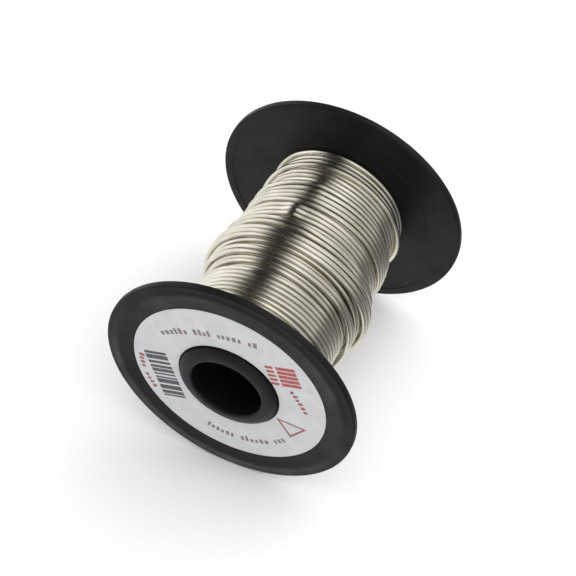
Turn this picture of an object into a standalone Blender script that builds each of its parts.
"""Wire spool: a moulded plastic reel with a paper ring label, wound with bright solder wire.

The spool lies on the rims of its two flanges. Its axis is world Y, the labelled flange faces -Y, and the
world origin is the middle of the spool on that axis. Every shape is turned about local Z, and an empty
turns local +Z to world +Y.
"""

import math

import bpy
from mathutils import Vector

# Driving dimensions, in metres.
FLANGE_RADIUS = 0.040
FLANGE_SPACING = 0.080          # outer face to outer face, without the hub lips
FLANGE_THICKNESS = 0.0024
BORE_RADIUS = 0.0112
LIP_RADIUS = 0.0157
LIP_HEIGHT = 0.0022
BARREL_RADIUS = 0.0152
BARREL_WALL = 0.0018
SPIGOT_LENGTH = 0.012           # how far each flange's collar reaches into the barrel
LABEL_OUTER_RADIUS = 0.0310
LABEL_THICKNESS = 0.0002
WIRE_DIAMETER = 0.0016
GAP = 0.0003                    # clearance between pieces that touch

# Small features, from the driving dimensions.
RECESS_DEPTH = LABEL_THICKNESS / 2 + GAP
RECESS_OUTER_RADIUS = LABEL_OUTER_RADIUS + GAP
RECESS_INNER_RADIUS = LIP_RADIUS + GAP
LABEL_INNER_RADIUS = RECESS_INNER_RADIUS + GAP
EDGE_ROUND = 0.0005             # rounding of the flange's rim
LIP_ROUND = 0.0008              # rounding of the hub lip's outer edge
BORE_CHAMFER = 0.0005
SPIGOT_CHAMFER = 0.0006
TIP_CLEARANCE = WIRE_DIAMETER / 2 + GAP         # a loose wire's centre line, above what it lies on
INNER_FACE = FLANGE_SPACING / 2 - FLANGE_THICKNESS
WIRE_HOLE_RADIUS = 0.0012
WIRE_HOLE_SETBACK = 0.0008      # from the barrel's outside to the hole's edge
WIRE_HOLE_ORBIT = BARREL_RADIUS + WIRE_HOLE_SETBACK + WIRE_HOLE_RADIUS
WIRE_HOLE_ANGLE = math.radians(205)

TURN_STEPS = 72                 # facets of every turned shape
HALF_STEP = math.pi / TURN_STEPS

# Outer surface of the wound wire: (share of the way from the labelled flange to the other, radius).
WINDING_OUTLINE = (
    (0.00, 0.0234),
    (0.14, 0.0238),
    (0.34, 0.0239),
    (0.37, 0.0246),
    (0.42, 0.0258),
    (0.47, 0.0266),
    (0.54, 0.0262),
    (0.59, 0.0252),
    (0.63, 0.0241),
    (0.75, 0.0240),
    (0.80, 0.0231),
    (0.84, 0.0227),
    (1.00, 0.0226),
)

# (name, base colour, roughness, metallic)
PLASTIC = ("black_plastic", (0.022, 0.022, 0.024), 0.45, 0.0)
PAPER = ("label_paper", (0.78, 0.79, 0.80), 0.70, 0.0)
TIN = ("solder_wire", (0.72, 0.70, 0.65), 0.28, 1.0)


def clear_scene():
    """Start from an empty scene."""
    for item in list(bpy.data.objects):
        bpy.data.objects.remove(item, do_unlink=True)


def new_collection(name):
    """A collection under the scene's own."""
    collection = bpy.data.collections.new(name)
    bpy.context.scene.collection.children.link(collection)
    return collection


def material(name, colour, roughness, metallic):
    """A Principled material, made once for each name."""
    found = bpy.data.materials.get(name)
    if found:
        return found
    made = bpy.data.materials.new(name)
    made.use_nodes = True
    shader = made.node_tree.nodes["Principled BSDF"]
    shader.inputs["Base Color"].default_value = (*colour, 1.0)
    shader.inputs["Roughness"].default_value = roughness
    shader.inputs["Metallic"].default_value = metallic
    return made


def arc(centre, radius, start, end, count):
    """Points along an arc in the (radius, height) plane, with angles in degrees."""
    points = []
    for i in range(count + 1):
        angle = math.radians(start + (end - start) * i / count)
        points.append((centre[0] + radius * math.cos(angle), centre[1] + radius * math.sin(angle)))
    return points


def turned(name, outline, finish, collection, axis):
    """A closed (radius, height) outline turned about local Z; it runs down its outer side."""
    mesh = bpy.data.meshes.new(name)
    vertices = [(radius, 0.0, height) for radius, height in outline]
    edges = [(i, (i + 1) % len(outline)) for i in range(len(outline))]
    mesh.from_pydata(vertices, edges, [])
    mesh.materials.append(material(*finish))
    body = bpy.data.objects.new(name, mesh)
    body.parent = axis
    body.rotation_euler.z = HALF_STEP
    collection.objects.link(body)
    screw = body.modifiers.new("turn", "SCREW")
    screw.axis = "Z"
    screw.steps = TURN_STEPS
    screw.render_steps = TURN_STEPS
    screw.use_merge_vertices = True
    screw.merge_threshold = 0.00001
    screw.use_smooth_shade = True
    return body


def cut(body, cutter):
    """Take the cutter's shape out of the body."""
    boolean = body.modifiers.new(cutter.name, "BOOLEAN")
    boolean.operation = "DIFFERENCE"
    boolean.object = cutter


def flange_outline():
    """Section of a flange moulding whose outer face looks along +Z: disc, hub lip and collar."""
    top = FLANGE_SPACING / 2
    bottom = INNER_FACE
    lip_top = top + LIP_HEIGHT
    spigot_radius = BARREL_RADIUS - BARREL_WALL - GAP
    spigot_end = bottom - SPIGOT_LENGTH
    rim = FLANGE_RADIUS - EDGE_ROUND
    outline = [(BORE_RADIUS + BORE_CHAMFER, lip_top)]
    outline += arc((LIP_RADIUS - LIP_ROUND, lip_top - LIP_ROUND), LIP_ROUND, 90, 0, 3)
    outline += [(LIP_RADIUS, top - RECESS_DEPTH), (RECESS_OUTER_RADIUS, top - RECESS_DEPTH)]
    outline += [(RECESS_OUTER_RADIUS, top)]
    outline += arc((rim, top - EDGE_ROUND), EDGE_ROUND, 90, 0, 2)
    outline += arc((rim, bottom + EDGE_ROUND), EDGE_ROUND, 0, -90, 2)
    outline += [(spigot_radius, bottom)]
    outline += [(spigot_radius, spigot_end + SPIGOT_CHAMFER), (spigot_radius - SPIGOT_CHAMFER, spigot_end)]
    outline += [(BORE_RADIUS, spigot_end), (BORE_RADIUS, lip_top - BORE_CHAMFER)]
    return outline


def make_hole_cutter(collection, axis):
    """Cylinder that drills the wire hole beside the barrel through the far flange."""
    bpy.ops.mesh.primitive_cylinder_add(vertices=16, radius=WIRE_HOLE_RADIUS, depth=FLANGE_THICKNESS * 4)
    cutter = bpy.context.object
    cutter.name = "wire_hole_cutter"
    for owner in list(cutter.users_collection):
        owner.objects.unlink(cutter)
    collection.objects.link(cutter)
    cutter.parent = axis
    cutter.location = on_orbit(WIRE_HOLE_ORBIT, WIRE_HOLE_ANGLE, INNER_FACE)
    cutter.hide_render = True
    cutter.display_type = "WIRE"
    return cutter


def on_orbit(radius, angle, height):
    """A point at a radius and angle about local Z."""
    return Vector((radius * math.cos(angle), radius * math.sin(angle), height))


def make_flanges(collection, cutters, axis):
    """Two flanges from one moulding: the labelled one is the other turned end for end."""
    far = turned("far_flange", flange_outline(), PLASTIC, collection, axis)
    cut(far, make_hole_cutter(cutters, axis))
    near = turned("near_flange", flange_outline(), PLASTIC, collection, axis)
    near.rotation_euler = (math.pi, 0.0, HALF_STEP)


def make_barrel(collection, axis):
    """The tube between the flanges that carries the wire."""
    half = INNER_FACE - GAP
    inner = BARREL_RADIUS - BARREL_WALL
    outline = [(inner, half), (BARREL_RADIUS, half), (BARREL_RADIUS, -half), (inner, -half)]
    turned("barrel", outline, PLASTIC, collection, axis)


def make_label(collection, axis):
    """Paper ring that lies in the recess of the labelled flange."""
    middle = -FLANGE_SPACING / 2
    top = middle + LABEL_THICKNESS / 2
    bottom = middle - LABEL_THICKNESS / 2
    outline = [
        (LABEL_INNER_RADIUS, top),
        (LABEL_OUTER_RADIUS, top),
        (LABEL_OUTER_RADIUS, bottom),
        (LABEL_INNER_RADIUS, bottom),
    ]
    turned("front_label", outline, PAPER, collection, axis)


def winding_surface(inset):
    """The winding's outline, from the far flange down to the labelled one, inset by a depth."""
    low = -INNER_FACE + GAP
    span = 2 * (INNER_FACE - GAP)
    return [(radius - inset, low + span * share) for share, radius in reversed(WINDING_OUTLINE)]


def make_winding(collection, axis):
    """The wound wire as two closed rings: the visible top layer and the layers below it."""
    top_layer_depth = WIRE_DIAMETER
    outer_side = winding_surface(0.0)
    inner_side = winding_surface(top_layer_depth)
    turned("wire_outer_layer", outer_side + inner_side[::-1], TIN, collection, axis)
    core_side = winding_surface(top_layer_depth + GAP)
    floor_radius = BARREL_RADIUS + GAP
    core = [(floor_radius, core_side[0][1])] + core_side + [(floor_radius, core_side[-1][1])]
    turned("wire_inner_layers", core, TIN, collection, axis)


def make_wire_piece(name, points, collection, axis):
    """A round length of wire along a list of points, as a curve with a bevel and closed ends."""
    curve = bpy.data.curves.new(name, "CURVE")
    curve.dimensions = "3D"
    curve.bevel_depth = WIRE_DIAMETER / 2
    curve.bevel_resolution = 2
    curve.use_fill_caps = True
    spline = curve.splines.new("POLY")
    spline.points.add(len(points) - 1)
    for slot, point in zip(spline.points, points):
        slot.co = (*point, 1.0)
    curve.materials.append(material(*TIN))
    wire = bpy.data.objects.new(name, curve)
    wire.parent = axis
    collection.objects.link(wire)
    return wire


def make_start_end(collection, axis):
    """The wire's first end: out through the far flange beside the barrel, then bent flat on its face."""
    bend_radius = WIRE_DIAMETER * 1.1
    foot_length = 0.010
    lie_height = FLANGE_SPACING / 2 + TIP_CLEARANCE
    hole = on_orbit(WIRE_HOLE_ORBIT, WIRE_HOLE_ANGLE, 0.0)
    along = Vector((-math.sin(WIRE_HOLE_ANGLE), math.cos(WIRE_HOLE_ANGLE), 0.0))
    up = Vector((0.0, 0.0, 1.0))
    points = [hole + up * (INNER_FACE + GAP / 2)]
    for i in range(7):
        angle = math.radians(90 * i / 6)
        rise = lie_height - bend_radius * (1 - math.sin(angle))
        points.append(hole + up * rise + along * bend_radius * (1 - math.cos(angle)))
    points.append(hole + up * lie_height + along * foot_length)
    make_wire_piece("wire_start_end", points, collection, axis)


def make_finish_end(collection, axis):
    """The wire's last end: it lies on the winding, on its underside, where it is tucked in."""
    radius = 0.0260 + TIP_CLEARANCE
    height = -0.0060
    first_angle = math.radians(61)
    sweep = math.radians(60)
    drift = 0.0005
    count = 12
    points = []
    for i in range(count + 1):
        share = i / count
        points.append(on_orbit(radius, first_angle + sweep * share, height + drift * share ** 2))
    make_wire_piece("wire_finish_end", points, collection, axis)


def make_axis(collection):
    """An empty on the spool's axis that turns local +Z to world +Y."""
    axis = bpy.data.objects.new("spool_axis", None)
    axis.rotation_euler = (-math.pi / 2, 0.0, 0.0)
    collection.objects.link(axis)
    return axis


def main():
    """Build the spool."""
    clear_scene()
    spool = new_collection("wire_spool")
    cutters = new_collection("cutters")
    axis = make_axis(spool)
    make_flanges(spool, cutters, axis)
    make_barrel(spool, axis)
    make_label(spool, axis)
    make_winding(spool, axis)
    make_start_end(spool, axis)
    make_finish_end(spool, axis)


main()
